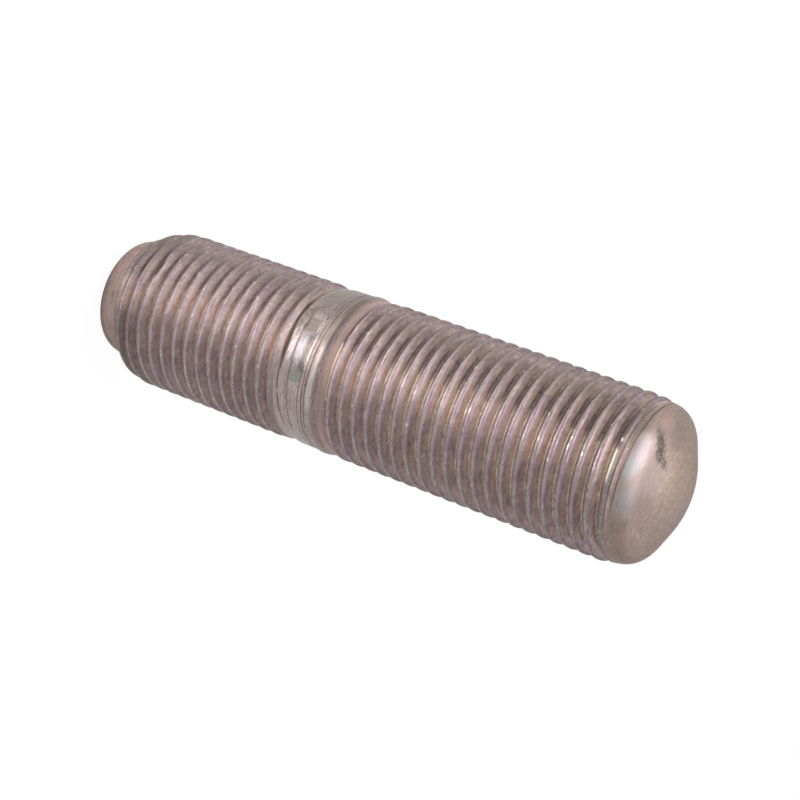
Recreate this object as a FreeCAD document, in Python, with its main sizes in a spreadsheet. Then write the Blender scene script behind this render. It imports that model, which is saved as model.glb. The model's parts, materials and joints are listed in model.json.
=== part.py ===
"""Double ended stud, turned and rolled from one bar of steel, in millimetres.

The stud stands on its pilot end. Z runs along its axis, from the middle of the pilot's flat face at
zero up to the tip of the dome. From the bottom up it has a pilot, a convex lead, the metal-end thread,
a run-out neck, a plain shank, a crowned collar, a second neck, the nut-end thread, a taper and a domed
tip. Each thread is a plain cylinder at the height of its crests, as on a drawing.
"""

import FreeCAD, Part
import math
import os
from typing import NamedTuple

import Sketcher

NODE = "stud"

# Driving dimensions: lengths in millimetres, the angle in degrees, and each depth below the thread's crests
SIZES = {
    "thread_diameter": 21.85,
    "pilot_diameter": 16.5,
    "pilot_edge_radius": 2.2,
    "pilot_wall_length": 0.8,
    "lead_radius": 9.5,
    "metal_end_length": 32.3,
    "metal_end_chamfer": 0.3,
    "neck_depth": 0.33,
    "neck_width": 2.2,
    "neck_flare": 0.3,
    "shank_depth": 0.12,
    "shank_width": 2.5,
    "collar_rise": 0.17,
    "collar_width": 2.3,
    "nut_neck_depth": 0.43,
    "nut_neck_width": 1.2,
    "nut_end_length": 46.8,
    "nut_end_chamfer": 0.4,
    "taper_depth": 0.53,
    "taper_length": 2.4,
    "shoulder_radius": 3.0,
    "flank_half_angle": 62.0,
    "nose_radius": 13.5,
}

# Numbers that name the points of a sketch's edge, then its own level and upright axes
START, END, CENTRE = range(1, 4)
LEVEL_AXIS, AXIS = range(-1, -3, -1)
ORIGIN = (LEVEL_AXIS, START)


class Measure(NamedTuple):
    """A size worked out from the driving dimensions, with the expression that keeps it bound to their cells."""

    value: float
    expression: str


def cell(alias):
    """A driving dimension as it stands."""
    return Measure(SIZES[alias], f"Sizes.{alias}")


def half(alias):
    """The radius of a named diameter."""
    return Measure(SIZES[alias] / 2, f"Sizes.{alias} / 2")


def under_crest(alias):
    """The radius that lies a named depth below the thread's crests."""
    return Measure(half("thread_diameter").value - SIZES[alias], f"Sizes.thread_diameter / 2 - Sizes.{alias}")


def total(*aliases):
    """The sum of several driving dimensions."""
    return Measure(sum(SIZES[a] for a in aliases), " + ".join(f"Sizes.{a}" for a in aliases))


CREST = half("thread_diameter")
METAL_END_TOP = total("metal_end_length")
NUT_END_FOOT = total("metal_end_length", "neck_width", "shank_width", "collar_width", "nut_neck_width")


def make_sheet(doc):
    """Puts the driving dimensions in aliased cells, one to a row."""
    sheet = doc.addObject("Spreadsheet::Sheet", "Sizes")
    for row, (alias, value) in enumerate(SIZES.items(), start=1):
        sheet.set(f"A{row}", alias.replace("_", " "))
        sheet.set(f"B{row}", str(value))
        sheet.setAlias(f"B{row}", alias)
    doc.recompute()


class Outline:
    """A closed half section on the body's XZ plane, where X is the radius and Y the height."""

    def __init__(self, body, name):
        self.body = body
        self.name = name
        self.sketch = body.newObject("Sketcher::SketchObject", f"{name}_outline")
        planes = {feature.Role: feature for feature in body.Origin.OriginFeatures}
        self.sketch.AttachmentSupport = (planes["XZ_Plane"], "")
        self.sketch.MapMode = "FlatFace"

    def path(self, *points):
        """Draws straight edges through (radius, height) points, each joined to the one before."""
        corners = [FreeCAD.Vector(radius, height, 0) for radius, height in points]
        edges = [
            self.sketch.addGeometry(Part.LineSegment(start, end), False)
            for start, end in zip(corners, corners[1:])
        ]
        for first, second in zip(edges, edges[1:]):
            self.fix("Coincident", first, END, second, START)
        return edges

    def arc(self, centre, radius, first_angle, last_angle):
        """Draws an anticlockwise arc about a (radius, height) point, between angles in radians."""
        circle = Part.Circle(FreeCAD.Vector(*centre, 0), FreeCAD.Vector(0, 0, 1), radius)
        return self.sketch.addGeometry(Part.ArcOfCircle(circle, first_angle, last_angle), False)

    def fix(self, kind, *items):
        """Adds a constraint that has no size, such as Coincident or Tangent."""
        self.sketch.addConstraint(Sketcher.Constraint(kind, *items))

    def level(self, *edges):
        """Keeps each edge at one height."""
        for edge in edges:
            self.fix("Horizontal", edge)

    def upright(self, *edges):
        """Keeps each edge at one radius."""
        for edge in edges:
            self.fix("Vertical", edge)

    def bind(self, kind, items, measure):
        """Adds a constraint whose size follows the sheet's cells."""
        index = self.sketch.addConstraint(Sketcher.Constraint(kind, *items, measure.value))
        self.sketch.setExpression(f"Constraints[{index}]", measure.expression)

    def radius_at(self, point, measure):
        """Sets a point's distance from the axis."""
        self.bind("DistanceX", (*ORIGIN, *point), measure)

    def height_at(self, point, measure):
        """Sets a point's height above the pilot's face."""
        self.bind("DistanceY", (*ORIGIN, *point), measure)

    def rise(self, low, high, measure):
        """Sets the height from one point up to another."""
        self.bind("DistanceY", (*low, *high), measure)

    def revolve(self):
        """Turns the outline once about the stud's axis and adds it to the body."""
        feature = self.body.newObject("PartDesign::Revolution", self.name)
        feature.Profile = self.sketch
        feature.ReferenceAxis = (self.sketch, ["V_Axis"])
        feature.Angle = 360


def metal_end(body):
    """Pilot with its rounded edge, convex lead and the thread that is screwed into the metal part."""
    pilot = half("pilot_diameter")
    neck = under_crest("neck_depth")
    edge = cell("pilot_edge_radius")
    lead = cell("lead_radius")
    chamfer = cell("metal_end_chamfer")
    top = METAL_END_TOP.value
    pilot_top = edge.value + SIZES["pilot_wall_length"]
    lead_height = math.sqrt(lead.value**2 - (lead.value - CREST.value + pilot.value) ** 2)
    lead_top = pilot_top + lead_height
    lead_start = -math.asin(lead_height / lead.value)

    outline = Outline(body, "metal_end")
    core, face = outline.path((0, top), (0, 0), (pilot.value - edge.value, 0))
    round_over = outline.arc((pilot.value - edge.value, edge.value), edge.value, -math.pi / 2, 0)
    wall, = outline.path((pilot.value, edge.value), (pilot.value, pilot_top))
    curve = outline.arc((CREST.value - lead.value, lead_top), lead.value, lead_start, 0)
    thread, slope, roof = outline.path(
        (CREST.value, lead_top), (CREST.value, top - chamfer.value), (neck.value, top), (0, top)
    )

    outline.fix("Tangent", face, END, round_over, START)
    outline.fix("Tangent", round_over, END, wall, START)
    outline.fix("Coincident", wall, END, curve, START)
    outline.fix("Tangent", curve, END, thread, START)
    outline.fix("Coincident", roof, END, core, START)
    outline.fix("Coincident", face, START, *ORIGIN)
    outline.level(face, roof)
    outline.upright(core, wall, thread)
    outline.radius_at((wall, START), pilot)
    outline.bind("Radius", (round_over,), edge)
    outline.rise((wall, START), (wall, END), cell("pilot_wall_length"))
    outline.bind("Radius", (curve,), lead)
    outline.radius_at((thread, START), CREST)
    outline.radius_at((slope, END), neck)
    outline.rise((slope, START), (slope, END), chamfer)
    outline.height_at((slope, END), METAL_END_TOP)
    outline.revolve()


def shank(body):
    """Run-out neck, plain shank, crowned collar and the neck under the nut end."""
    neck = under_crest("neck_depth")
    plain = under_crest("shank_depth")
    nut_neck = under_crest("nut_neck_depth")
    rise = cell("collar_rise")
    foot = METAL_END_TOP.value
    top = NUT_END_FOOT.value
    step = foot + SIZES["neck_width"]
    collar_foot = step + SIZES["shank_width"]
    collar_top = collar_foot + SIZES["collar_width"]
    middle = (collar_foot + collar_top) / 2
    crown = plain.value + rise.value

    # The collar's face is a shallow arc from the shank out to the crown and back
    half_width = SIZES["collar_width"] / 2
    bow = (half_width**2 + rise.value**2) / (2 * rise.value)
    half_turn = math.asin(half_width / bow)

    outline = Outline(body, "shank")
    core, floor, neck_wall, flare, wall = outline.path(
        (0, top),
        (0, foot),
        (neck.value, foot),
        (neck.value, step - SIZES["neck_flare"]),
        (plain.value, step),
        (plain.value, collar_foot),
    )
    face = outline.arc((crown - bow, middle), bow, -half_turn, half_turn)
    shelf, nut_neck_wall, roof = outline.path(
        (plain.value, collar_top), (nut_neck.value, collar_top), (nut_neck.value, top), (0, top)
    )
    crown_line, = outline.path((0, middle), (crown, middle))
    outline.sketch.toggleConstruction(crown_line)

    outline.fix("Coincident", wall, END, face, START)
    outline.fix("Coincident", face, END, shelf, START)
    outline.fix("Coincident", roof, END, core, START)
    outline.fix("PointOnObject", floor, START, AXIS)
    outline.fix("PointOnObject", crown_line, START, AXIS)
    outline.fix("PointOnObject", crown_line, END, face)
    outline.fix("PointOnObject", face, CENTRE, crown_line)
    outline.fix("Vertical", face, START, face, END)
    outline.level(floor, shelf, roof, crown_line)
    outline.upright(core, neck_wall, wall, nut_neck_wall)
    outline.height_at((neck_wall, START), METAL_END_TOP)
    outline.rise((neck_wall, START), (flare, END), cell("neck_width"))
    outline.rise((flare, START), (flare, END), cell("neck_flare"))
    outline.rise((wall, START), (wall, END), cell("shank_width"))
    outline.rise((face, START), (face, END), cell("collar_width"))
    outline.rise((nut_neck_wall, START), (nut_neck_wall, END), cell("nut_neck_width"))
    outline.radius_at((neck_wall, START), neck)
    outline.radius_at((wall, START), plain)
    outline.bind("DistanceX", (wall, END, crown_line, END), rise)
    outline.radius_at((nut_neck_wall, START), nut_neck)
    outline.revolve()


def nut_end(body):
    """Thread for the nut, and the taper, shoulder, flank and nose of the domed tip."""
    nut_neck = under_crest("nut_neck_depth")
    base = under_crest("taper_depth")
    shoulder = cell("shoulder_radius")
    nose = cell("nose_radius")
    chamfer = cell("nut_end_chamfer")
    foot = NUT_END_FOOT.value
    tip = foot + SIZES["nut_end_length"]
    taper_angle = math.atan(SIZES["taper_depth"] / SIZES["taper_length"])
    flank_angle = math.radians(SIZES["flank_half_angle"])

    # Down from the nose: the top of the flank, its foot on the shoulder, and the top of the taper
    flank_top = (
        nose.value * math.cos(flank_angle),
        tip - nose.value * (1 - math.sin(flank_angle)),
    )
    shoulder_radius = base.value - shoulder.value * math.cos(taper_angle)
    flank_radius = shoulder_radius + shoulder.value * math.cos(flank_angle)
    flank_foot = (flank_radius, flank_top[1] - (flank_radius - flank_top[0]) / math.tan(flank_angle))
    shoulder_height = flank_foot[1] - shoulder.value * math.sin(flank_angle)
    taper_top = shoulder_height + shoulder.value * math.sin(taper_angle)

    outline = Outline(body, "nut_end")
    core, floor, slope, thread, taper = outline.path(
        (0, tip),
        (0, foot),
        (nut_neck.value, foot),
        (CREST.value, foot + chamfer.value),
        (CREST.value, taper_top - SIZES["taper_length"]),
        (base.value, taper_top),
    )
    bend = outline.arc((shoulder_radius, shoulder_height), shoulder.value, taper_angle, flank_angle)
    flank, = outline.path(flank_foot, flank_top)
    cap = outline.arc((0, tip - nose.value), nose.value, flank_angle, math.pi / 2)

    outline.fix("Tangent", taper, END, bend, START)
    outline.fix("Tangent", bend, END, flank, START)
    outline.fix("Tangent", flank, END, cap, START)
    outline.fix("Coincident", cap, END, core, START)
    outline.fix("PointOnObject", cap, CENTRE, AXIS)
    outline.fix("PointOnObject", floor, START, AXIS)
    outline.level(floor)
    outline.upright(core, thread)
    outline.height_at((slope, START), NUT_END_FOOT)
    outline.radius_at((slope, START), nut_neck)
    outline.rise((slope, START), (slope, END), chamfer)
    outline.radius_at((thread, START), CREST)
    outline.radius_at((taper, END), base)
    outline.rise((taper, START), (taper, END), cell("taper_length"))
    outline.bind("Radius", (bend,), shoulder)
    lean = Measure(math.pi / 2 + flank_angle, "90 deg + Sizes.flank_half_angle * 1 deg")
    outline.bind("Angle", (flank,), lean)
    outline.bind("Radius", (cap,), nose)
    outline.rise((core, END), (core, START), cell("nut_end_length"))
    outline.revolve()


def check(doc, body):
    """Stops if any object failed or the stud isn't one sound solid."""
    for item in doc.Objects:
        if "Invalid" in item.State or "Error" in item.State:
            raise RuntimeError(f"{item.Name} failed: {item.State}")
    shape = body.Shape
    if shape.isNull() or not shape.isValid() or len(shape.Solids) != 1:
        raise RuntimeError("the stud isn't one sound solid")


def main():
    """Builds the stud and writes it out."""
    doc = FreeCAD.newDocument("double_ended_stud")
    make_sheet(doc)
    body = doc.addObject("PartDesign::Body", NODE)
    body.Label = NODE
    body.Placement = FreeCAD.Placement()
    metal_end(body)
    shank(body)
    nut_end(body)
    doc.recompute()
    check(doc, body)

    os.makedirs("parts", exist_ok=True)
    body.Shape.exportStep(f"parts/{NODE}.step")
    box = body.Shape.optimalBoundingBox(False)
    print(f"length {box.ZLength:.3f}, width {box.XLength:.3f}, volume {body.Shape.Volume:.1f}")


main()
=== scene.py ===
"""Looks of the double ended stud: one plated steel piece with its rolled threads, over a plain pale floor."""

import json
import logging
import math
from contextlib import contextmanager
from dataclasses import dataclass, field
from enum import Enum
from typing import Callable, Iterator, Optional, Sequence, Union

import bmesh
import bpy
from mathutils import Matrix, Vector


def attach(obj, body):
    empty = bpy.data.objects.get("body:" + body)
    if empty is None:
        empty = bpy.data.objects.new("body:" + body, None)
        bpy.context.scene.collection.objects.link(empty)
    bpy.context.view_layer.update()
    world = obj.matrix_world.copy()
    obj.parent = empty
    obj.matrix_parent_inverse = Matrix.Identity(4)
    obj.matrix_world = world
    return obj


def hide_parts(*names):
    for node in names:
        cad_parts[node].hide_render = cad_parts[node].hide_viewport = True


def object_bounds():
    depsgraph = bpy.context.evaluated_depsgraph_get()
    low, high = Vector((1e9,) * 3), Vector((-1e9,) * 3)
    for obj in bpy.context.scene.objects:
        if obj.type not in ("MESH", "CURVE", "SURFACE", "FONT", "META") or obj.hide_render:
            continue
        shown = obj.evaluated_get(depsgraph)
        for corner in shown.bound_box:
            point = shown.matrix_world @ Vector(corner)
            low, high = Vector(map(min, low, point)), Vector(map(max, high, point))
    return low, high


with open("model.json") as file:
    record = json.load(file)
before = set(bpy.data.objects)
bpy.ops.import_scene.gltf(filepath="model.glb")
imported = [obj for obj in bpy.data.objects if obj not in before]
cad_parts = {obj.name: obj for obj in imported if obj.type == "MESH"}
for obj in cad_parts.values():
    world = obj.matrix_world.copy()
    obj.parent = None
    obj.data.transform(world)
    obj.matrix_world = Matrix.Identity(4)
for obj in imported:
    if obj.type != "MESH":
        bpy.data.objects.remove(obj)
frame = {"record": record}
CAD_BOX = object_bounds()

log = logging.getLogger("stud")

MM = 0.001
NODE = "stud"
BODY = "root"

# Climb of the thread over one turn
PITCH = 2.0 * MM
# Columns of faces round the stud, the same on every section so that their rings line up
COLUMNS = 144
# Bearing of the stud's front line, which faces the camera
FRONT = -math.pi / 2
# Vertices nearer than this become one
MERGE_GAP = 0.0005 * MM
# Radii of the plain shank, and of the neck between the collar and the nut end's thread
SHANK_RADIUS = 10.805 * MM
NUT_NECK_RADIUS = 10.495 * MM

Point = tuple[float, float]
Number = Union[float, "Value"]
Colour = Union[Sequence[float], "Value"]


def mount(name: str) -> dict:
    """Finds one of the part's mounts.

    Args:
        name: The mount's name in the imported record.

    Returns:
        The mount as the record states it.
    """
    return next(m for m in frame["record"]["mounts"] if m["name"] == name)


def wall(name: str) -> Point:
    """Gives the stretch of a round mount along the axis.

    Args:
        name: The mount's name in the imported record.

    Returns:
        Its lowest and highest height, in metres.
    """
    entry = mount(name)
    half = entry["dims"]["length_mm"] * MM / 2
    middle = entry["pos_m"][2]
    return middle - half, middle + half


CREST = mount("nut_thread")["dims"]["r_mm"] * MM
METAL_WALL = wall("metal_end_thread")
NUT_WALL = wall("nut_thread")
TIP = CAD_BOX[1].z


def arc(centre: Point, radius: float, first: float, last: float, steps: int) -> list[Point]:
    """Divides an arc into points.

    Args:
        centre: Radius and height of the arc's centre.
        radius: The arc's own radius.
        first: Angle of the first point, in radians.
        last: Angle of the last point, in radians.
        steps: How many chords the arc is divided into.

    Returns:
        Points as radius and height, one more than the chords.
    """
    angles = [first + (last - first) * i / steps for i in range(steps + 1)]
    return [(centre[0] + radius * math.cos(a), centre[1] + radius * math.sin(a)) for a in angles]


def smooth_step(low: float, high: float, value: float) -> float:
    """Rises smoothly from 0 at low to 1 at high."""
    share = min(max((value - low) / (high - low), 0.0), 1.0)
    return share * share * (3 - 2 * share)


def deselect_all() -> None:
    """Leaves object mode with nothing selected."""
    if bpy.context.object and bpy.context.object.mode != "OBJECT":
        bpy.ops.object.mode_set(mode="OBJECT")
    bpy.ops.object.select_all(action="DESELECT")


def choose(piece: bpy.types.Object) -> None:
    """Makes one object the only selected and active one."""
    deselect_all()
    piece.select_set(True)
    bpy.context.view_layer.objects.active = piece


@contextmanager
def editing(piece: bpy.types.Object) -> Iterator[None]:
    """Opens a piece for editing with everything selected, and closes it afterwards.

    Args:
        piece: The object to edit.
    """
    choose(piece)
    bpy.ops.object.mode_set(mode="EDIT")
    bpy.ops.mesh.select_all(action="SELECT")
    yield
    bpy.ops.object.mode_set(mode="OBJECT")


def draw_outline(name: str, points: Sequence[Point]) -> bpy.types.Object:
    """Draws an open line of edges in the plane of X and Z, by extruding one vertex from point to point.

    Args:
        name: Name of the new object.
        points: Radius and height of each point.

    Returns:
        The object that holds the line.
    """
    deselect_all()
    bpy.ops.mesh.primitive_plane_add(size=MM, location=(0, 0, 0))
    piece = bpy.context.object
    piece.name = name
    with editing(piece):
        bpy.ops.mesh.merge(type="CENTER")
        bpy.ops.transform.translate(value=(points[0][0], 0, points[0][1]))
        for start, end in zip(points, points[1:]):
            step = (end[0] - start[0], 0, end[1] - start[1])
            bpy.ops.mesh.extrude_vertices_move(TRANSFORM_OT_translate={"value": step})
    return piece


def tidy(piece: bpy.types.Object) -> None:
    """Merges vertices that lie together and turns every face outwards."""
    with editing(piece):
        bpy.ops.mesh.remove_doubles(threshold=MERGE_GAP)
        bpy.ops.mesh.normals_make_consistent(inside=False)


def turn_outline(piece: bpy.types.Object) -> None:
    """Spins a drawn outline once round the stud's axis."""
    with editing(piece):
        bpy.ops.mesh.spin(steps=COLUMNS, angle=2 * math.pi, center=(0, 0, 0), axis=(0, 0, 1))
    tidy(piece)


def cut_level(piece: bpy.types.Object, height: float, keep_above: bool) -> None:
    """Cuts a piece square across the axis and drops one side.

    Args:
        piece: The object to cut.
        height: Height of the cut.
        keep_above: Whether the upper side stays.
    """
    with editing(piece):
        bpy.ops.mesh.bisect(
            plane_co=(0, 0, height),
            plane_no=(0, 0, 1),
            clear_inner=keep_above,
            clear_outer=not keep_above,
            threshold=0.0001 * MM,
        )


@dataclass(frozen=True)
class Dent:
    """A small knock or a short groove in the surface, which can climb with the bearing."""

    bearing: float
    height: float
    width: float
    length: float
    depth: float
    climb: float = 0.0

    def at(self, bearing: float, height: float) -> float:
        """Gives how deep the knock is at a place.

        Args:
            bearing: Angle round the axis, in radians.
            height: Height along the axis.

        Returns:
            The depth, nothing away from the knock.
        """
        turn = (bearing - self.bearing + math.pi) % (2 * math.pi) - math.pi
        across = (height - self.height - turn * self.climb) / self.width
        along = turn * CREST / self.length
        return self.depth * math.exp(-((across * across + along * along) ** 2))


@dataclass
class Thread:
    """A rolled right-hand thread with rounded crests and roots, which fades at both ends."""

    name: str
    foot: float
    top: float
    crest_height: float
    crest_limit: Callable[[float, float], float]
    depth_share: Callable[[float, float], float]
    dents: Sequence[Dent] = ()
    pitch: float = PITCH
    flank_angle: float = math.radians(30)
    crest_flat: float = 0.12 * MM
    edge_radius: float = 0.38 * MM
    root_radius: float = 0.16 * MM
    edge_steps: int = 3
    root_steps: int = 4

    @property
    def depth(self) -> float:
        """Height of the crests over the roots."""
        bend = self.edge_radius + self.root_radius
        flank = (self.pitch - self.crest_flat) / 2 - bend * math.cos(self.flank_angle)
        return flank / math.tan(self.flank_angle) + bend * (1 - math.sin(self.flank_angle))

    def outline(self) -> list[Point]:
        """Draws one pitch, from the middle of a crest to the middle of the next.

        Returns:
            Points as radius and height over the first crest.
        """
        lean = math.pi / 2 - self.flank_angle
        edge_centre = CREST - self.edge_radius
        root_centre = CREST - self.depth + self.root_radius
        middle = self.pitch / 2
        first = arc((edge_centre, self.crest_flat / 2), self.edge_radius, 0, lean, self.edge_steps)
        root = arc((root_centre, middle), self.root_radius, math.pi + lean, math.pi - lean, self.root_steps)
        last_centre = (edge_centre, self.pitch - self.crest_flat / 2)
        last = arc(last_centre, self.edge_radius, -lean, 0, self.edge_steps)
        return [(CREST, 0), *first, *root, *last, (CREST, self.pitch)]

    def build(self) -> bpy.types.Object:
        """Screws the outline round the axis, cuts it square and fades its ends.

        Returns:
            The thread as an open sleeve.
        """
        turns = math.ceil((self.top - self.foot) / self.pitch) + 2
        piece = draw_outline(self.name, self.outline())
        screw = piece.modifiers.new("turns", "SCREW")
        screw.axis = "Z"
        screw.angle = 2 * math.pi
        screw.screw_offset = self.pitch
        screw.iterations = turns
        screw.steps = screw.render_steps = COLUMNS
        screw.use_merge_vertices = False
        choose(piece)
        bpy.ops.object.modifier_apply(modifier=screw.name)

        # The outline starts on the X axis, so the first crest is brought to its height on the front line
        climb = (FRONT / (2 * math.pi)) * self.pitch
        start = self.crest_height - climb
        below = math.ceil((start - self.foot) / self.pitch + 1) * self.pitch
        with editing(piece):
            bpy.ops.transform.translate(value=(0, 0, start - below))
        tidy(piece)
        cut_level(piece, self.foot, keep_above=True)
        cut_level(piece, self.top, keep_above=False)
        self.fade(piece)
        return piece

    def fade(self, piece: bpy.types.Object) -> None:
        """Brings each vertex of the full thread to its place between the faded crest and root.

        Args:
            piece: The thread as screwed.
        """
        for vertex in piece.data.vertices:
            x, y, z = vertex.co
            radius = math.hypot(x, y)
            bearing = math.atan2(y, x)
            below = (CREST - radius) * self.depth_share(bearing, z)
            knock = sum(dent.at(bearing, z) for dent in self.dents)
            wanted = self.crest_limit(bearing, z) - below - knock
            vertex.co.x *= wanted / radius
            vertex.co.y *= wanted / radius


def midpoint(first: Point, second: Point) -> Point:
    """Gives the point halfway between two."""
    return (first[0] + second[0]) / 2, (first[1] + second[1]) / 2


@dataclass
class MetalEnd:
    """Pilot, convex lead and the thread that goes into the metal part, up to the plain shank."""

    foot_radius: float = 6.05 * MM
    pilot_radius: float = 8.25 * MM
    pilot_top: float = 3.0 * MM
    lead_radius: float = 8.6 * MM
    lead_top: float = 8.9 * MM
    lead_foot: float = 3.8 * MM
    lead_slant: float = 0.75 * MM
    crest_height: float = 15.85 * MM
    neck_radius: float = 10.595 * MM
    shank_radius: float = SHANK_RADIUS
    thread_top: float = METAL_WALL[1]
    neck_top: float = METAL_WALL[1] + 2.2 * MM
    edge_steps: int = 10

    def lead_at(self, height: float) -> float:
        """Gives the lead's radius.

        Args:
            height: Height above the foot.

        Returns:
            The radius, which stays at the crests above the lead.
        """
        drop = max(self.lead_top - height, 0.0)
        return CREST - self.lead_radius + math.sqrt(self.lead_radius**2 - drop**2)

    def above_foot(self, bearing: float, height: float) -> float:
        """Gives how far a place lies above the slanting line where the lead begins.

        Args:
            bearing: Angle round the axis, in radians.
            height: Height above the foot.

        Returns:
            The distance, negative on the pilot.
        """
        return height - self.lead_foot - self.lead_slant * math.sin(bearing - FRONT)

    def crest_limit(self, bearing: float, height: float) -> float:
        """Gives the radius that the crests reach, from the pilot up the lead and down the neck.

        Args:
            bearing: Angle round the axis, in radians.
            height: Height above the foot.

        Returns:
            The radius.
        """
        into_neck = smooth_step(self.thread_top - 0.1 * MM, self.thread_top + 0.5 * MM, height)
        into_shank = smooth_step(self.neck_top, self.neck_top + 0.35 * MM, height)
        on_lead = smooth_step(-0.1 * MM, 0.45 * MM, self.above_foot(bearing, height))
        level = self.pilot_radius + (self.lead_at(height) - self.pilot_radius) * on_lead
        level += (self.neck_radius - CREST) * into_neck
        return level + (self.shank_radius - self.neck_radius) * into_shank

    def depth_share(self, bearing: float, height: float) -> float:
        """Gives how much of the thread's depth there is.

        Args:
            bearing: Angle round the axis, in radians.
            height: Height above the foot.

        Returns:
            From 0 to 1.
        """
        starting = smooth_step(self.pilot_top, self.lead_top - 1.5 * MM, height)
        ending = 1 - smooth_step(self.thread_top - 0.2 * MM, self.thread_top + 1.0 * MM, height)
        on_lead = smooth_step(0.0, 0.6 * MM, self.above_foot(bearing, height))
        return (0.4 + 0.6 * starting) * ending * on_lead

    def build(self) -> list[bpy.types.Object]:
        """Models the pilot and the thread.

        Returns:
            Both sections, from the bottom up.
        """
        edge = self.pilot_radius - self.foot_radius
        rounded = arc((self.foot_radius, edge), edge, -math.pi / 2, 0, self.edge_steps)
        outline = [(0, 0), (self.foot_radius * 0.5, 0), *rounded]
        outline += [(self.pilot_radius, self.pilot_top - below) for below in (0.35 * MM, 0.08 * MM)]
        pilot = draw_outline("pilot", outline)
        turn_outline(pilot)
        climb = PITCH / (2 * math.pi)
        dents = [
            # Nick in the foot side of a crest, and the two ends of the last groove
            Dent(FRONT - math.radians(27), 9.35 * MM, 0.4 * MM, 1.7 * MM, 0.65 * MM, climb),
            Dent(FRONT - math.radians(2), 32.86 * MM, 0.15 * MM, 6.0 * MM, 0.24 * MM, 0.3 * MM),
            Dent(FRONT + math.radians(45), 33.45 * MM, 0.17 * MM, 2.8 * MM, 0.3 * MM, 0.8 * MM),
        ]
        thread = Thread(
            "metal_end_thread",
            foot=self.pilot_top,
            top=self.neck_top + 0.6 * MM,
            crest_height=self.crest_height,
            crest_limit=self.crest_limit,
            depth_share=self.depth_share,
            dents=dents,
        )
        return [pilot, thread.build()]


@dataclass
class Shank:
    """Plain shank and crowned collar between the two threads."""

    foot: float = METAL_WALL[1] + 2.9 * MM
    radius: float = SHANK_RADIUS
    bead_foot: float = METAL_WALL[1] + 4.55 * MM
    step_foot: float = METAL_WALL[1] + 5.12 * MM
    collar_foot: float = METAL_WALL[1] + 5.62 * MM
    collar_crest: float = METAL_WALL[1] + 6.26 * MM
    collar_top: float = METAL_WALL[1] + 7.0 * MM
    collar_radius: float = 10.965 * MM
    collar_edge: float = 10.85 * MM
    neck_radius: float = NUT_NECK_RADIUS
    line_depth: float = 0.08 * MM
    crown_steps: int = 10

    def build(self) -> list[bpy.types.Object]:
        """Turns the section.

        Returns:
            The section, alone in a list.
        """
        half = self.collar_crest - self.collar_foot
        rise = self.collar_radius - self.collar_edge
        bow = (half**2 + rise**2) / (2 * rise)
        foot_turn = math.asin(half / bow)
        top_turn = math.asin((self.collar_top - self.collar_crest) / bow)
        centre = (self.collar_radius - bow, self.collar_crest)
        crown = arc(centre, bow, -foot_turn, top_turn, self.crown_steps)
        outline = [
            (self.radius, self.foot),
            (self.radius, self.foot + 0.5 * MM),
            *self.line(self.radius, self.bead_foot),
            *self.line(self.radius + 0.02 * MM, self.step_foot),
            *self.line(self.radius + 0.04 * MM, self.collar_foot - 0.04 * MM),
            *crown,
            (self.neck_radius + 0.2 * MM, self.collar_top + 0.28 * MM),
            (self.neck_radius + 0.08 * MM, self.collar_top + 0.58 * MM),
        ]
        piece = draw_outline("shank", outline)
        turn_outline(piece)
        return [piece]

    def line(self, radius: float, height: float) -> list[Point]:
        """Draws a fine turned line across the outline.

        Args:
            radius: Radius on both sides of the line.
            height: Height of its bottom.

        Returns:
            Points down into the line and out again.
        """
        return [
            (radius, height - 0.06 * MM),
            (radius - self.line_depth, height),
            (radius, height + 0.06 * MM),
        ]


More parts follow.
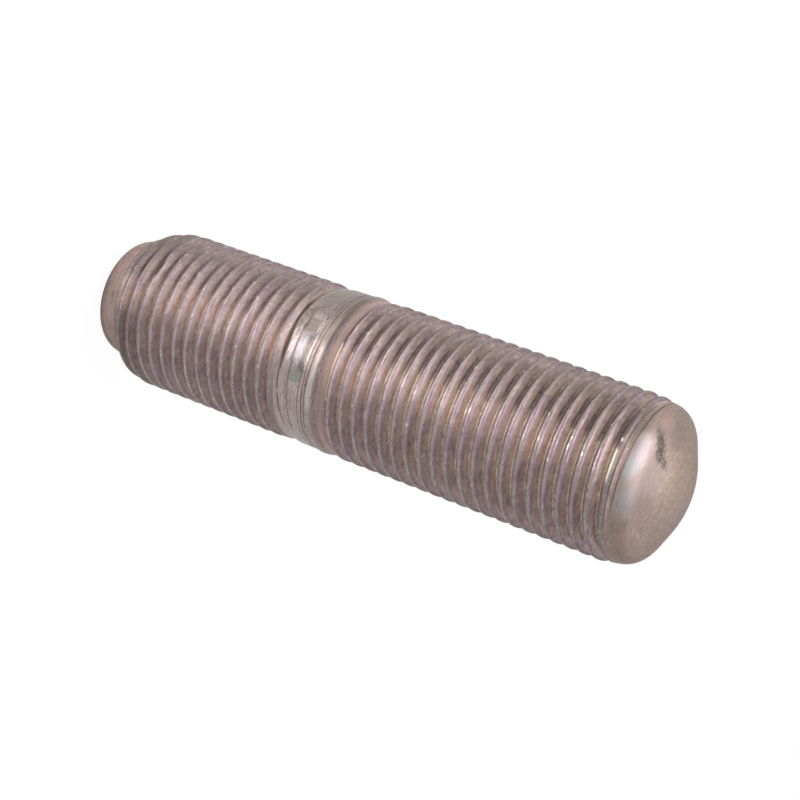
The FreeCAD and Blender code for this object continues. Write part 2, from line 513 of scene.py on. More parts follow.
@dataclass
class NutEnd:
    """Thread for the nut, with its taper and the domed tip."""

    crest_height: float = 41.1 * MM
    foot: float = METAL_WALL[1] + 7.7 * MM
    neck_radius: float = NUT_NECK_RADIUS
    taper_foot: float = NUT_WALL[1]
    taper_length: float = 2.4 * MM
    taper_radius: float = 10.395 * MM
    shoulder_radius: float = 3.0 * MM
    flank_angle: float = math.radians(62)
    nose_radius: float = 13.5 * MM
    shoulder_steps: int = 8
    nose_steps: int = 12

    @property
    def taper_top(self) -> float:
        """Height where the taper meets the shoulder."""
        return self.taper_foot + self.taper_length

    @property
    def taper_angle(self) -> float:
        """Lean of the taper towards the axis, in radians."""
        return math.atan((CREST - self.taper_radius) / self.taper_length)

    @property
    def shoulder_centre(self) -> Point:
        """Radius and height of the middle of the shoulder's arc."""
        inward = self.shoulder_radius * math.cos(self.taper_angle)
        down = self.shoulder_radius * math.sin(self.taper_angle)
        return self.taper_radius - inward, self.taper_top - down

    def crest_limit(self, bearing: float, height: float) -> float:
        """Gives the radius that the crests reach, the same all round.

        Args:
            bearing: Angle round the axis, in radians; not used, as the crests are the same all round.
            height: Height above the foot of the stud.

        Returns:
            The radius, from the neck up the thread and down the taper and the shoulder.
        """
        if height > self.taper_top:
            centre, middle = self.shoulder_centre
            return centre + math.sqrt(self.shoulder_radius**2 - (height - middle) ** 2)
        down = max(height - self.taper_foot, 0.0) / self.taper_length
        up = smooth_step(self.foot + 0.1 * MM, self.foot + 1.7 * MM, height)
        return self.neck_radius + (CREST - self.neck_radius) * up + (self.taper_radius - CREST) * down

    def depth_share(self, bearing: float, height: float) -> float:
        """Gives how much of the thread's depth there is.

        Args:
            bearing: Angle round the axis, in radians; not used, as the depth is the same all round.
            height: Height above the foot of the stud.

        Returns:
            From 0 to 1.
        """
        starting = smooth_step(self.foot + 0.02 * MM, self.foot + 1.5 * MM, height)
        ending = 1 - smooth_step(self.taper_foot + 0.9 * MM, self.taper_foot + 1.9 * MM, height)
        return starting * ending

    def build(self) -> list[bpy.types.Object]:
        """Models the thread and the domed tip.

        Returns:
            Both sections, from the bottom up.
        """
        seam = self.taper_top + 0.4 * MM
        thread = Thread(
            "nut_end_thread",
            foot=self.foot,
            top=seam,
            crest_height=self.crest_height,
            crest_limit=self.crest_limit,
            depth_share=self.depth_share,
        )
        start = math.asin((seam + 0.05 * MM - self.shoulder_centre[1]) / self.shoulder_radius)
        end = self.flank_angle
        shoulder = arc(self.shoulder_centre, self.shoulder_radius, start, end, self.shoulder_steps)
        nose = arc((0, TIP - self.nose_radius), self.nose_radius, end, math.pi / 2, self.nose_steps)
        dome = draw_outline("dome", [*shoulder, midpoint(shoulder[-1], nose[0]), *nose])
        turn_outline(dome)
        return [thread.build(), dome]


class Value:
    """A socket of a material that can be written into Python expressions."""

    def __init__(self, nodes: "Nodes", socket: bpy.types.NodeSocket) -> None:
        """Keeps the socket and the material it belongs to."""
        self.nodes = nodes
        self.socket = socket

    def math(self, operation: str, *others: Number) -> "Value":
        """Adds a Math node whose first value is this one."""
        return self.nodes.add("ShaderNodeMath", {"operation": operation}, dict(enumerate([self, *others])))

    def __add__(self, other: Number) -> "Value":
        """Adds."""
        return self.math("ADD", other)

    __radd__ = __add__

    def __mul__(self, other: Number) -> "Value":
        """Multiplies."""
        return self.math("MULTIPLY", other)

    __rmul__ = __mul__

    def __sub__(self, other: Number) -> "Value":
        """Takes the other from this."""
        return self.math("SUBTRACT", other)

    def __rsub__(self, other: float) -> "Value":
        """Takes this from a number."""
        return self.nodes.add("ShaderNodeMath", {"operation": "SUBTRACT"}, {0: other, 1: self})

    def __truediv__(self, other: Number) -> "Value":
        """Divides by the other."""
        return self.math("DIVIDE", other)

    def power(self, exponent: Number) -> "Value":
        """Raises to a power."""
        return self.math("POWER", exponent)

    def fraction(self) -> "Value":
        """Keeps what follows the decimal point."""
        return self.math("FRACT")

    def size(self) -> "Value":
        """Drops the sign."""
        return self.math("ABSOLUTE")

    def between(self, low: float, high: float) -> "Value":
        """Rises smoothly from 0 at low to 1 at high, or falls where low is the larger.

        Args:
            low: Where the result is 0.
            high: Where the result is 1.

        Returns:
            The result, level outside the two.
        """
        falls = low > high
        first, last = min(low, high), max(low, high)
        ends = {"From Min": first, "From Max": last, "To Min": float(falls), "To Max": float(not falls)}
        smooth = {"interpolation_type": "SMOOTHSTEP"}
        return self.nodes.add("ShaderNodeMapRange", smooth, {"Value": self, **ends})

    def inside(self, low: float, high: float, soft: float) -> "Value":
        """Marks where it lies between two others, with 1 there and 0 outside.

        Args:
            low: The lower end.
            high: The upper end.
            soft: Half the width over which each end fades.

        Returns:
            The mark.
        """
        return self.between(low - soft, low + soft) * self.between(high + soft, high - soft)


class Nodes:
    """The nodes of one material."""

    def __init__(self, name: str) -> None:
        """Starts an empty material."""
        self.material = bpy.data.materials.new(name)
        self.material.use_nodes = True
        self.tree = self.material.node_tree
        self.tree.nodes.clear()

    def add(
        self,
        kind: str,
        settings: Optional[dict] = None,
        inputs: Optional[dict] = None,
        output: Union[int, str] = 0,
    ) -> Value:
        """Adds a node.

        Args:
            kind: The node's type.
            settings: Properties that are set first. stops is a ramp's list of places and colours.
            inputs: A number, a colour or a Value for each socket, by its name or number.
            output: The output socket to use.

        Returns:
            The chosen output.
        """
        node = self.tree.nodes.new(kind)
        for key, setting in (settings or {}).items():
            if key == "stops":
                self.set_stops(node.color_ramp, setting)
            else:
                setattr(node, key, setting)
        for key, given in (inputs or {}).items():
            if isinstance(given, Value):
                self.tree.links.new(given.socket, node.inputs[key])
            else:
                node.inputs[key].default_value = given
        return Value(self, node.outputs[output])

    def surface(self, shader: Value) -> bpy.types.Material:
        """Ends the material.

        Args:
            shader: What its surface shows.

        Returns:
            The finished material.
        """
        output = self.tree.nodes.new("ShaderNodeOutputMaterial")
        self.tree.links.new(shader.socket, output.inputs["Surface"])
        return self.material

    @staticmethod
    def set_stops(ramp: bpy.types.ColorRamp, stops: Sequence[tuple[float, Sequence[float]]]) -> None:
        """Fills a colour ramp.

        Args:
            ramp: The ramp.
            stops: Place and colour of each stop.
        """
        while len(ramp.elements) < len(stops):
            ramp.elements.new(1.0)
        for element, (place, colour) in zip(ramp.elements, stops):
            element.position = place
            element.color = (*colour, 1.0)

    def mix(self, share: Number, first: Colour, second: Colour) -> Value:
        """Mixes two colours.

        Args:
            share: How much of the second there is.
            first: The colour where the share is 0.
            second: The colour where the share is 1.

        Returns:
            The mixed colour.
        """
        ends = [c if isinstance(c, Value) else (*c, 1.0) for c in (first, second)]
        return self.add("ShaderNodeMix", {"data_type": "RGBA"}, {0: share, 6: ends[0], 7: ends[1]}, output=2)

    def noise(self, place: Value, scale: float, detail: float = 2.0, roughness: float = 0.5) -> Value:
        """Adds a soft noise.

        Args:
            place: Where it is read, as a vector.
            scale: How many times it changes over a unit.
            detail: How many finer layers there are.
            roughness: How strong the finer layers are.

        Returns:
            The noise, around 0.5.
        """
        return self.add(
            "ShaderNodeTexNoise",
            {"noise_dimensions": "3D"},
            {"Vector": place, "Scale": scale, "Detail": detail, "Roughness": roughness},
        )


def srgb(red: int, green: int, blue: int) -> tuple[float, float, float]:
    """Turns a screen colour of 0 to 255 into a linear one.

    Args:
        red: Red, as a screen shows it.
        green: Green, as a screen shows it.
        blue: Blue, as a screen shows it.

    Returns:
        The linear colour.
    """
    shares = [channel / 255 for channel in (red, green, blue)]
    return tuple(c / 12.92 if c <= 0.04045 else ((c + 0.055) / 1.055) ** 2.4 for c in shares)


class Stretch(Enum):
    """The stretches above the pilot whose plating looks different, as lowest and highest height in mm."""

    METAL_THREAD = (3.05, 32.9)
    NECK = (32.9, 34.35)
    SHANK = (34.35, 36.95)
    COLLAR = (36.95, 39.25)
    NUT_THREAD = (39.25, 81.9)
    DOME = (81.9, 90.0)


@dataclass(frozen=True)
class Patch:
    """A stretch of the plating with a colour of its own, which for some patches is the plating's colour and
    for others a painted highlight, painted reflection or painted shade.

    Heights are in mm on the front line, bearings in degrees from it, and the climb in mm for a whole turn.
    """

    colour: tuple
    heights: tuple[float, float]
    bearings: tuple[float, float]
    strength: float = 1.0
    soft_height: float = 0.15
    soft_bearing: float = 1.5
    climb: float = 0.0


@dataclass(frozen=True)
class PassivatedZinc:
    """Zinc plate with an iridescent passivation, lilac on the crests and gathered gold in the roots, with
    painted highlights, a painted reflection and painted shade among its colours.
    """

    crest: tuple = srgb(184, 164, 165)
    # Painted highlight on the crest's rounding towards the tip
    bright: tuple = srgb(222, 199, 201)
    lilac: tuple = srgb(192, 169, 170)
    pink: tuple = srgb(208, 181, 179)
    # Flank colours that lighten towards the root as painted fill against the groove's shade; the gold is
    # partly the film gathered in the roots and partly a painted highlight
    tan: tuple = srgb(252, 222, 210)
    ochre: tuple = srgb(255, 228, 206)
    dull: tuple = srgb(228, 202, 190)
    gold: tuple = srgb(255, 247, 222)
    # Painted warm sheen on the flanks across the lit middle
    amber: tuple = srgb(255, 210, 178)
    violet: tuple = srgb(170, 138, 162)
    # Painted shade on the flank and the crest edge that face the foot
    shade: tuple = srgb(180, 162, 152)
    edge: tuple = srgb(156, 140, 134)
    # Dark grain and a swirl line, and painted shade in grooves, turned lines and along crest edges
    umber_grime_and_shade: tuple = srgb(84, 68, 58)
    mauve: tuple = srgb(196, 178, 175)
    # Painted highlight across the shank's lit middle
    shank_highlight: tuple = srgb(168, 161, 164)
    # Greenish grime drawn along the thread, and painted shade beside the lit middle
    moss_grime_and_shade: tuple = srgb(140, 130, 120)
    # Green-grey tone, and painted shade beside the shank's lit middle
    green: tuple = srgb(160, 160, 154)
    # Painted cool reflection on the dome, below its highlight
    dome_reflection: tuple = srgb(206, 200, 200)
    # Painted shade beside the lit middle
    brown_shade: tuple = srgb(150, 134, 126)
    # Scratches and a scuffed edge, and painted shade on the shank and on the crests at the sides
    slate_wear_and_shade: tuple = srgb(122, 112, 108)
    soot: tuple = srgb(104, 102, 94)
    cream: tuple = srgb(190, 171, 165)
    salmon: tuple = srgb(218, 184, 176)
    petal: tuple = srgb(226, 194, 186)
    rose: tuple = srgb(206, 179, 171)
    sand: tuple = srgb(200, 178, 163)
    # Painted shade over the dome's middle
    blush_shade: tuple = srgb(180, 158, 156)
    # Where the dome shines: partly bare metal, partly painted highlight, warm and cool
    dome_highlight: tuple = srgb(250, 236, 240)
    cool_highlight: tuple = srgb(222, 224, 228)
    straw: tuple = srgb(180, 164, 142)
    # Bright wear and chips, and painted highlights on the shank's bead and the collar's crown
    white: tuple = srgb(246, 238, 234)
    # Height in mm, bearing in degrees and half the size in mm of each bright chip
    chips: tuple = (
        (7.45, -1.9, 0.16),
        (20.6, 0.3, 0.14),
        (26.9, -9.0, 0.1),
        (40.9, 22.2, 0.2),
        (45.0, 20.1, 0.16),
        (53.3, 18.9, 0.2),
        (55.9, 38.0, 0.2),
        (62.8, 3.0, 0.12),
        (73.1, 8.0, 0.14),
        (81.0, -20.7, 0.22),
        (81.9, -17.0, 0.12),
    )

    def patches(self) -> list[Patch]:
        """Lists the patches, scuffs and lines that stand out, from the foot up, with painted highlights, a
        painted reflection and painted shade among them.

        Returns:
            Patches of colour, heights, bearings, strength, softness in height and in bearing, and climb.
        """
        whole = (-95.0, 275.0)
        return [
            # Pilot: scuffed edge
            Patch(self.slate_wear_and_shade, (-0.5, 1.0), whole, 0.6, 0.4),
            # Lead: painted shade, darker and greener away from the lit middle
            Patch(self.moss_grime_and_shade, (4.4, 9.0), (-75.0, -18.0), 0.4, 1.0, 6.0),
            Patch(self.brown_shade, (3.8, 9.0), (12.0, 85.0), 0.6, 1.5, 6.0),
            # Run-out: the last turn, and painted shade as the dark line of its groove in two lengths
            Patch(self.mauve, (31.9, 33.5), (8.0, 100.0), 0.7, 0.3, 8.0),
            Patch(self.umber_grime_and_shade, (32.84, 33.0), (-10.0, 26.0), 0.8, 0.08, 3.0, climb=1.5),
            Patch(self.umber_grime_and_shade, (32.36, 32.52), (31.0, 58.0), 0.85, 0.07, 3.0, climb=8.3),
            # Plain shank: bands of painted highlight across the lit middle, and of painted shade beside it
            Patch(self.moss_grime_and_shade, (33.6, 39.0), (-80.0, -30.0), 0.35, 0.3, 6.0),
            Patch(self.moss_grime_and_shade, (33.0, 34.4), (-40.0, -20.0), 0.5, 0.15, 3.0),
            Patch(self.shank_highlight, (34.7, 35.9), (-17.0, 9.0), 1.0, 0.2, 1.2),
            Patch(self.moss_grime_and_shade, (34.35, 36.3), (-30.0, -17.5), 0.8, 0.15, 1.5),
            Patch(self.green, (34.5, 36.6), (8.5, 18.0), 0.8, 0.15, 1.0),
            Patch(self.slate_wear_and_shade, (35.75, 36.52), (-17.0, 9.5), 0.95, 0.3, 2.0),
            Patch(self.white, (36.6, 37.0), (-16.0, 4.0), 0.3, 0.06, 2.0),
            # A dark swirl line, and painted shade in the two turned lines below the crown
            Patch(self.umber_grime_and_shade, (34.4, 34.6), (-22.0, 60.0), 0.65, 0.1, 5.0, climb=4.0),
            Patch(self.umber_grime_and_shade, (37.08, 37.16), whole, 0.6, 0.05),
            Patch(self.umber_grime_and_shade, (37.56, 37.64), whole, 0.75, 0.05),
            # Collar: painted shade on one side of the crown's lit middle, and a painted highlight on the
            # other
            Patch(self.brown_shade, (38.1, 39.0), (-65.0, -13.0), 0.9, 0.2, 4.0),
            Patch(self.white, (37.9, 38.7), (4.0, 34.0), 0.4, 0.2, 4.0),
            # First root of the nut end, with a painted highlight across the lit middle, and painted shade as
            # the line at its first crest
            Patch(self.salmon, (39.35, 40.35), whole, 0.6),
            Patch(self.gold, (40.38, 40.72), (-19.0, 24.0), 1.0, 0.07, climb=2.0),
            Patch(self.umber_grime_and_shade, (40.76, 40.88), (-50.0, 40.0), 0.7, 0.06, 8.0, climb=2.0),
            # Last crest before the tip: chipped to a cream colour over the lit middle, partly a painted
            # highlight there, with painted shade beside it and as the dark lines after it
            Patch(self.brown_shade, (80.7, 82.4), (-62.0, -26.0), 0.5, 0.4, 8.0),
            Patch(self.gold, (80.6, 81.2), (-14.0, 9.0), 0.7, 0.12, 2.0),
            Patch(self.umber_grime_and_shade, (81.48, 81.6), (-70.0, 40.0), 0.7, 0.08, 10.0),
            Patch(self.umber_grime_and_shade, (82.24, 82.36), (-80.0, 24.0), 0.9, 0.06, 8.0),
            # Dome: paler where it shines, partly bare and partly a painted highlight, with a painted cool
            # reflection below, painted shade beside that, yellower towards the far edge
            Patch(self.straw, (83.2, 85.4), (-100.0, -60.0), 0.35, 0.8, 12.0),
            Patch(self.straw, (86.2, 87.5), whole, 0.2, 0.6),
            Patch(self.blush_shade, (84.2, 85.7), (-20.0, 26.0), 0.75, 0.5, 8.0),
            Patch(self.salmon, (83.4, 84.6), (-62.0, -50.0), 0.6, 0.4, 4.0),
            Patch(self.salmon, (83.0, 84.2), (42.0, 60.0), 0.5, 0.4, 5.0),
            Patch(self.dome_highlight, (82.6, 84.0), (-34.0, -8.0), 0.7, 0.7, 8.0),
            Patch(self.cool_highlight, (82.5, 83.7), (-14.0, 3.0), 0.65, 0.5, 5.0),
            Patch(self.dome_reflection, (82.7, 84.2), (5.0, 30.0), 0.75, 0.6, 8.0),
            Patch(self.brown_shade, (84.2, 85.8), (-75.0, -46.0), 0.35, 0.8, 8.0),
            # Chips where the bare metal shines
            *(self.chip(*place) for place in self.chips),
        ]

    def chip(self, height: float, bearing: float, half: float) -> Patch:
        """Makes a small bright chip.

        Args:
            height: Height of its middle, in mm.
            bearing: Bearing of its middle, in degrees from the front line.
            half: Half its size, in mm.

        Returns:
            The chip as a patch.
        """
        turn = math.degrees(half / (CREST / MM))
        ends = (height - half, height + half), (bearing - turn, bearing + turn)
        return Patch(self.white, *ends, 0.9, soft_height=0.06, soft_bearing=0.4)

    def stops(self, *flank: tuple[float, tuple]) -> list[tuple[float, tuple]]:
        """Lists the colours over one turn of thread, from crest to crest, with a painted highlight on the
        crest's rounding towards the tip and painted shade on the flank and crest edge that face the foot.

        Args:
            flank: Places and colours on the flank and in the root.

        Returns:
            Place and colour of each stop.
        """
        return [
            (0.0, self.crest),
            # Painted highlight on the crest's rounding towards the tip
            (0.06, self.bright),
            (0.12, self.bright),
            (0.18, self.lilac),
            (0.24, self.pink),
            *flank,
            # Painted shade on the flank and the crest edge that face the foot
            (0.6, self.shade),
            (0.82, self.edge),
            (0.92, self.edge),
            (0.98, self.crest),
        ]


class Plating:
    """The plating's material: what it reads at a point of the stud, and the colour built up from that, with
    painted highlights and painted shade in it.
    """

    # Half the width over which stretches blend, and the heights where the count of turns changes over, in mm
    blend: float = 0.1
    change: Point = (38.0, 38.1)
    # Whole turns that keep the count positive
    spare_turns: int = 50

    def __init__(self, zinc: PassivatedZinc, metal: MetalEnd, nut: NutEnd) -> None:
        """Adds the nodes that read where a point lies and the noises there, and colours the threads.

        Args:
            zinc: The finish.
            metal: The metal end, for where its crests lie.
            nut: The nut end, for where its crests lie.
        """
        self.zinc = zinc
        self.nodes = nodes = Nodes("iridescent_zinc")
        place = nodes.add("ShaderNodeTexCoord", output="Object")
        x, y, z = (nodes.add("ShaderNodeSeparateXYZ", inputs={0: place}, output=axis) for axis in "XYZ")
        self.height = height = z * (1 / MM)
        self.radius = radius = (x * x + y * y).power(0.5) * (1 / MM)
        turn = y.math("ARCTAN2", x) * (1 / (2 * math.pi))
        self.bearing = turn * 360.0 + 90.0
        self.zone = {stretch: height.inside(*stretch.value, self.blend) for stretch in Stretch}
        self.pilot = radius.between(8.75, 8.4) * height.between(5.6, 5.2)

        # Where a point lies in its turn of thread: 0 and 1 on the crests, 0.5 in the root
        metal_turns = (height - metal.crest_height / MM) / (PITCH / MM)
        nut_turns = (height - nut.crest_height / MM) / (PITCH / MM)
        self.upper = height.between(*self.change)
        along = metal_turns * (1 - self.upper) + nut_turns * self.upper
        along = along - turn + (FRONT / (2 * math.pi) + self.spare_turns)
        self.phase = along.fraction()

        # Noises: fixed in the stud, drawn out along the thread, and aslant across it
        self.patches = nodes.noise(place, 110.0, 2.0, 0.5)
        self.clouds = nodes.noise(place, 420.0, 3.0, 0.6)
        self.grain = nodes.noise(place, 2600.0, 3.0, 0.65)
        specks = nodes.noise(place, 1500.0, 2.0, 0.5)
        rolling = nodes.add("ShaderNodeCombineXYZ", inputs={0: radius, 1: turn * 24.0, 2: along * 9.0})
        self.drawn = nodes.noise(rolling, 1.0, 3.0, 0.6)
        across = {0: radius, 1: turn * 75.0, 2: height * 5.0 + turn * 60.0}
        self.scratches = nodes.noise(nodes.add("ShaderNodeCombineXYZ", inputs=across), 1.0, 3.0, 0.7)

        # Parts of the threads: all of them, their flanks, and the scuffs on their crests
        self.threads = (self.zone[Stretch.METAL_THREAD] + self.zone[Stretch.NUT_THREAD]) * (1 - self.pilot)
        self.flank = self.phase.inside(0.26, 0.54, 0.04) * self.threads
        crest = (self.phase - 0.5).size().between(0.34, 0.42) * self.threads
        self.scuff = crest * specks.between(0.62, 0.7)
        self.colour = self.ground()

    def cover(self, share: Value, colour: Colour) -> None:
        """Mixes a share of another colour into the colour so far."""
        self.colour = self.nodes.mix(share, self.colour, colour)

    def material(self) -> bpy.types.Material:
        """Builds up the colour, the roughness and the relief.

        Returns:
            The material.
        """
        self.plain_stretches()
        self.tints()
        self.wear()
        self.shade_and_rub()
        self.marks()
        zone, nodes = self.zone, self.nodes
        smooth = zone[Stretch.SHANK] * 0.16 + zone[Stretch.NECK] * 0.12 + zone[Stretch.COLLAR] * 0.06
        streaks = (self.drawn + self.grain + self.scratches - 1.5) * 0.25
        gilded = self.phase.inside(0.46, 0.57, 0.03) * self.threads * self.height.between(41.0, 42.0)
        roughness = 0.42 + streaks - smooth - self.scuff * 0.1 + zone[Stretch.DOME] * 0.09 - gilded * 0.12
        bumps = self.scratches + self.grain * 0.8 + self.clouds * 0.6 + self.drawn * 0.6
        relief = {"Strength": 0.6, "Distance": 0.03 * MM, "Height": bumps}
        plate = {
            "Base Color": self.colour,
            "Metallic": 0.9 - self.flank * 0.2,
            "Roughness": roughness,
            "Normal": nodes.add("ShaderNodeBump", inputs=relief, output="Normal"),
        }
        return nodes.surface(nodes.add("ShaderNodeBsdfPrincipled", inputs=plate))

    def ground(self) -> Value:
        """Colours the threads by the place in their turn, richer towards the tip, with the roots lightened by
        painted fill and a painted highlight.

        Returns:
            The colour.
        """
        zinc, nodes = self.zinc, self.nodes
        wander = self.phase + (self.clouds - 0.5) * 0.06
        # Towards the root the flank lightens as painted fill against the groove's shade, and the gold root is
        # partly a painted highlight; the dull flank is lightened too
        gilt_stops = zinc.stops((0.33, zinc.tan), (0.44, zinc.ochre), (0.48, zinc.gold), (0.54, zinc.gold))
        dull_stops = zinc.stops((0.33, zinc.dull), (0.54, zinc.dull))
        gilt = nodes.add("ShaderNodeValToRGB", {"stops": gilt_stops}, {"Fac": wander})
        dull = nodes.add("ShaderNodeValToRGB", {"stops": dull_stops}, {"Fac": wander})
        rich = self.height.between(38.0, 58.0) * 0.8 + 0.1 + (self.patches - 0.5) * 1.4
        return nodes.mix(rich.math("MINIMUM", 1.0).math("MAXIMUM", 0.0), dull, gilt)

    def plain_stretches(self) -> None:
        """Colours the pilot, the shank and the dome."""
        zinc, mix = self.zinc, self.nodes.mix
        dome = mix(self.patches.between(0.35, 0.6), zinc.sand, zinc.rose)
        dome = mix(self.patches.between(0.45, 0.65) * 0.5, dome, zinc.mauve)
        self.cover(self.pilot, mix(self.clouds.between(0.4, 0.7), zinc.petal, zinc.sand))
        self.cover(self.zone[Stretch.NECK], zinc.mauve)
        self.cover(self.zone[Stretch.SHANK], zinc.mauve)
        self.cover(self.zone[Stretch.COLLAR], zinc.cream)
        self.cover(self.zone[Stretch.DOME], dome)

    def tints(self) -> None:
        """Adds tints that wander over the threads: a painted warm sheen on the flanks across the lit middle,
        violet over the rest of the threads, and painted shade on the crests at the sides.
        """
        middle = self.flank * self.bearing.inside(-19.0, 12.0, 7.0)
        sides = self.threads * self.bearing.size().inside(62.0, 86.0, 9.0)
        self.cover(self.patches.between(0.42, 0.62) * middle * 0.4, self.zinc.amber)
        self.cover(self.clouds.between(0.42, 0.62) * (1 - middle) * self.threads * 0.4, self.zinc.violet)
        # Painted shade on the crests at the sides, 62 to 86 degrees from the front line
        self.cover((self.phase - 0.5).size().between(0.26, 0.4) * sides * 0.35, self.zinc.slate_wear_and_shade)

    def wear(self) -> None:
        """Adds grime and bright lines drawn along the rolling direction, mottling and scratches."""
        zinc = self.zinc
        rough = 1 - self.zone[Stretch.DOME] * 0.35
        self.cover(self.drawn.between(0.5, 0.68) * rough * 0.28, zinc.moss_grime_and_shade)
        self.cover(self.drawn.between(0.46, 0.3) * rough * 0.35, zinc.white)
        self.cover(self.patches.between(0.52, 0.7) * 0.12, zinc.green)
        self.cover(self.grain.between(0.5, 0.3) * rough * 0.25, zinc.umber_grime_and_shade)
        self.cover(self.scratches.between(0.5, 0.34) * rough * 0.4, zinc.slate_wear_and_shade)
        self.cover(self.scratches.between(0.54, 0.7) * rough * 0.4, zinc.white)

    def shade_and_rub(self) -> None:
        """Adds painted shade beside the lit middle and in the last groove of the metal end, and the dark rub
        on the dome.
        """
        # Painted shade beside the lit middle: in the grooves, along the foot side of the crests, and over the
        # threads further round
        wander = self.bearing + (self.patches - 0.5) * 20.0
        groove = self.phase.inside(0.38, 0.98, 0.04) * self.threads * wander.inside(-45.0, -19.0, 6.0)
        lead = self.height.between(10.5, 8.0)
        self.cover(groove * (self.upper * 0.25 + lead * 0.25 + 0.3), self.zinc.umber_grime_and_shade)
        self.cover(wander.inside(-62.0, -42.0, 6.0) * self.threads * 0.35, self.zinc.moss_grime_and_shade)
        foot_edge_shade = self.phase.inside(0.86, 0.98, 0.03) * self.threads * self.bearing.inside(-52.0, -13.0, 6.0)
        self.cover(foot_edge_shade * self.upper * 0.5, self.zinc.umber_grime_and_shade)

        # Painted shade in the last groove of the metal end, and the dark rub on the dome
        cavity_shade = self.height.inside(32.2, 34.1, 0.2) * self.radius.between(10.54, 10.4)
        self.cover(cavity_shade * self.bearing.inside(-44.0, 27.0, 5.0) * 0.8, self.zinc.umber_grime_and_shade)
        across = self.height - self.bearing * 0.06 + (self.clouds - 0.5) * 1.2
        rub = across.inside(86.1, 87.1, 0.35) * self.bearing.inside(-44.0, -21.0, 5.0)
        self.cover(rub * (self.grain.between(0.34, 0.56) * 0.75 + 0.25), self.zinc.soot)

    def marks(self) -> None:
        """Adds the patches, painted highlights and painted shade among them, with edges that wander a little,
        and the bright scuffs on the crests.
        """
        level = self.height + (self.clouds - 0.5) * 0.25
        side = self.bearing + (self.clouds - 0.5) * 8.0
        for patch in self.zinc.patches():
            mask = (level - side * (patch.climb / 360)).inside(*patch.heights, patch.soft_height)
            mask = mask * side.inside(*patch.bearings, patch.soft_bearing)
            self.cover(mask * patch.strength, patch.colour)
        self.cover(self.scuff * 0.6, self.zinc.white)


@dataclass
class Stud:
    """The whole stud, joined from its turned and rolled sections."""

    metal: MetalEnd = field(default_factory=MetalEnd)
    shank: Shank = field(default_factory=Shank)
    nut: NutEnd = field(default_factory=NutEnd)
    smooth_angle: float = math.radians(42)
    ring_gap: float = 0.001 * MM

    def build(self) -> bpy.types.Object:
        """Joins the sections into one closed piece.

        Returns:
            The stud.
        """
        sections = [*self.metal.build(), *self.shank.build(), *self.nut.build()]
        seams = [self.ends(piece) for piece in sections]
        deselect_all()
        for piece in sections:
            piece.select_set(True)
        stud = sections[0]
        bpy.context.view_layer.objects.active = stud
        bpy.ops.object.join()
        for (_, low), (high, _) in zip(seams, seams[1:]):
            self.bridge(stud, low, high)
        tidy(stud)
        choose(stud)
        bpy.ops.object.shade_smooth_by_angle(angle=self.smooth_angle)
        stud.name = stud.data.name = "plated_stud"
        return stud

    @staticmethod
    def ends(piece: bpy.types.Object) -> Point:
        """Gives the lowest and highest height of a section."""
        heights = [vertex.co.z for vertex in piece.data.vertices]
        return min(heights), max(heights)

    def bridge(self, piece: bpy.types.Object, low: float, high: float) -> None:
        """Closes the narrow gap between two rings.

        Args:
            piece: The joined object.
            low: Height of the lower ring.
            high: Height of the upper ring.
        """
        with editing(piece):
            bpy.ops.mesh.select_mode(type="EDGE")
            bpy.ops.mesh.select_all(action="DESELECT")
            shape = bmesh.from_edit_mesh(piece.data)
            for edge in shape.edges:
                levels = [vertex.co.z for vertex in edge.verts]
                on_ring = any(
                    all(abs(level - ring) < self.ring_gap for level in levels) for ring in (low, high)
                )
                edge.select_set(edge.is_boundary and on_ring)
            bmesh.update_edit_mesh(piece.data)
            bpy.ops.mesh.bridge_edge_loops()

    def dress(self, piece: bpy.types.Object, zinc: PassivatedZinc) -> None:
        """Plates the stud.

        Args:
            piece: The stud.
            zinc: Its finish.
        """
        piece.data.materials.clear()
        piece.data.materials.append(Plating(zinc, self.metal, self.nut).material())


@dataclass(frozen=True)
class SoftLamp:
    """A rectangular lamp that points at the middle of the stud.

    The bearing is in degrees round the stud from its front line, positive towards the X axis. The rise is in
    degrees above the level. A brightness of 1 is a white face.
    """

    name: str
    bearing: float
    rise: float
    away: float
    width: float
    tall: float
    brightness: float

    def hang(self) -> None:
        """Puts the lamp in its place."""
        lamp = bpy.data.lights.new(self.name, "AREA")
        lamp.shape = "RECTANGLE"
        lamp.size, lamp.size_y = self.width, self.tall
        lamp.energy = self.brightness * self.width * self.tall * math.pi
        turn, lift = math.radians(self.bearing), math.radians(self.rise)
        toward = Vector((math.sin(turn) * math.cos(lift), -math.cos(turn) * math.cos(lift), math.sin(lift)))
        holder = bpy.data.objects.new(self.name, lamp)
        bpy.context.scene.collection.objects.link(holder)
        place = Matrix.Translation(Vector((0, 0, TIP / 2)) + toward * self.away)
        holder.matrix_world = place @ toward.to_track_quat("Z", "Y").to_matrix().to_4x4()


@dataclass(frozen=True)
class FloorSpot:
    """A spot that lights a pool on the floor, which the stud mirrors."""

    name: str
    place: tuple
    aim: tuple
    spread: float
    power: float
    blend: float = 0.3
    softness: float = 2 * MM

    def hang(self) -> None:
        """Puts the spot in its place."""
        lamp = bpy.data.lights.new(self.name, "SPOT")
        lamp.energy = self.power
        lamp.spot_size = math.radians(self.spread)
        lamp.spot_blend = self.blend
        lamp.shadow_soft_size = self.softness
        holder = bpy.data.objects.new(self.name, lamp)
        bpy.context.scene.collection.objects.link(holder)
        line = (Vector(self.aim) - Vector(self.place)).to_track_quat("-Z", "Y")
        holder.matrix_world = Matrix.Translation(self.place) @ line.to_matrix().to_4x4()


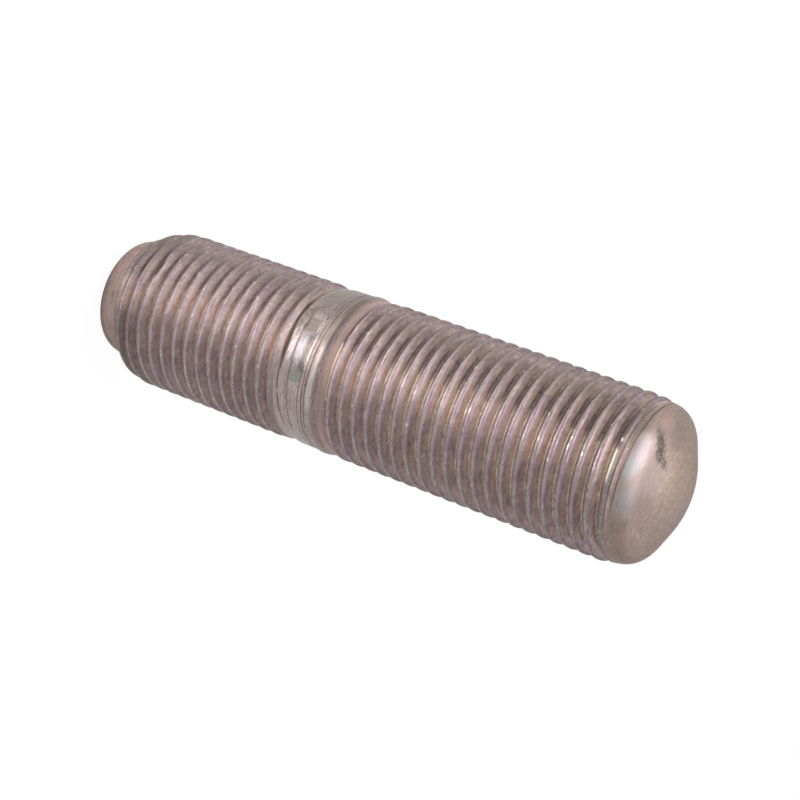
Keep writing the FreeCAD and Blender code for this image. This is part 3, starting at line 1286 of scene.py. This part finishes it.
@dataclass
class Studio:
    """Floor, lamps and camera."""

    floor_size: float = 6.0
    floor_cells: int = 8
    floor_grey: float = 0.82
    floor_glow: float = 1.05
    whiteness: float = 0.92
    mirrored_whiteness: float = 0.1
    world_strength: float = 0.34
    lamps: tuple = (
        SoftLamp("overhead", -70.0, 78.0, 0.45, 0.22, 0.26, 2.95),
        SoftLamp("softbox", -10.0, 52.0, 0.46, 0.14, 0.3, 1.5),
        SoftLamp("dome_softbox", -62.0, 46.0, 0.46, 0.22, 0.2, 1.7),
        SoftLamp("back_softbox", 172.0, 50.0, 0.5, 0.6, 0.4, 0.33),
        SoftLamp("left", -115.0, 22.0, 0.5, 0.5, 0.5, 0.35),
        FloorSpot("near_pool", (-0.014, -0.045, 0.16), (-0.014, -0.042, 0.0), 13.0, 1.3),
        FloorSpot("middle_pool", (-0.008, -0.07, 0.18), (-0.008, -0.068, 0.0), 12.0, 1.6),
        FloorSpot("far_pool", (-0.026, -0.11, 0.2), (-0.022, -0.109, 0.0), 19.0, 13.0),
        FloorSpot("left_pool", (-0.09, -0.085, 0.2), (-0.085, -0.08, 0.0), 20.0, 6.5),
    )
    lens: float = 94.72
    sensor: float = 36.0
    camera_place: tuple = (0.0, -244.6 * MM, 173.3 * MM)
    camera_right: tuple = (-0.34494, 0.43487, 0.83183)
    camera_up: tuple = (-0.93864, -0.15675, -0.30729)
    camera_back: tuple = (-0.00325, -0.88675, 0.46224)

    def build(self) -> None:
        """Makes the floor, the lamps and the camera."""
        self.floor()
        self.light()
        self.camera()
        self.settings()

    def floor(self) -> None:
        """Lays a plain pale floor under the stud."""
        deselect_all()
        bpy.ops.mesh.primitive_grid_add(
            x_subdivisions=self.floor_cells,
            y_subdivisions=self.floor_cells,
            size=self.floor_size,
            location=(0, 0, 0),
        )
        floor = bpy.context.object
        floor.name = "floor"
        nodes = Nodes("pale_floor")
        seen = nodes.add("ShaderNodeLightPath", output="Is Camera Ray")
        mirrored = nodes.add("ShaderNodeLightPath", output="Is Glossy Ray")
        through = nodes.add("ShaderNodeLightPath", output="Is Transmission Ray")
        grey = (self.floor_grey, self.floor_grey, self.floor_grey, 1.0)
        glow = {"Color": (1.0, 1.0, 1.0, 1.0), "Strength": self.floor_glow}
        lit = nodes.add("ShaderNodeBsdfDiffuse", inputs={"Color": grey})
        white = nodes.add("ShaderNodeEmission", inputs=glow)
        share = seen * self.whiteness + (mirrored + through) * self.mirrored_whiteness
        both = nodes.add("ShaderNodeMixShader", inputs={0: share, 1: lit, 2: white})
        floor.data.materials.append(nodes.surface(both))

    def light(self) -> None:
        """Sets the lamps and the even light around."""
        world = bpy.data.worlds.new("studio")
        bpy.context.scene.world = world
        world.use_nodes = True
        background = world.node_tree.nodes["Background"]
        background.inputs["Color"].default_value = (1.0, 1.0, 1.0, 1.0)
        background.inputs["Strength"].default_value = self.world_strength
        for lamp in self.lamps:
            lamp.hang()

    def camera(self) -> None:
        """Sets the camera where the photograph was taken from, rolled as it was."""
        data = bpy.data.cameras.new("camera")
        data.lens = self.lens
        data.sensor_width = self.sensor
        data.clip_start = 0.01
        data.clip_end = 20.0
        camera = bpy.data.objects.new("camera", data)
        bpy.context.scene.collection.objects.link(camera)
        turned = Matrix((self.camera_right, self.camera_up, self.camera_back)).transposed()
        camera.matrix_world = Matrix.Translation(self.camera_place) @ turned.to_4x4()
        bpy.context.scene.camera = camera

    @staticmethod
    def settings() -> None:
        """Shows colours as they are."""
        bpy.context.scene.view_settings.view_transform = "Standard"


def main() -> None:
    """Builds, dresses and lights the stud."""
    logging.basicConfig(level=logging.INFO, format="%(name)s: %(message)s")
    stud = Stud()
    piece = stud.build()
    stud.dress(piece, PassivatedZinc())
    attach(piece, BODY)
    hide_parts(NODE)
    log.info("%s: %d faces", piece.name, len(piece.data.polygons))
    Studio().build()


if __name__ == "__main__":
    main()
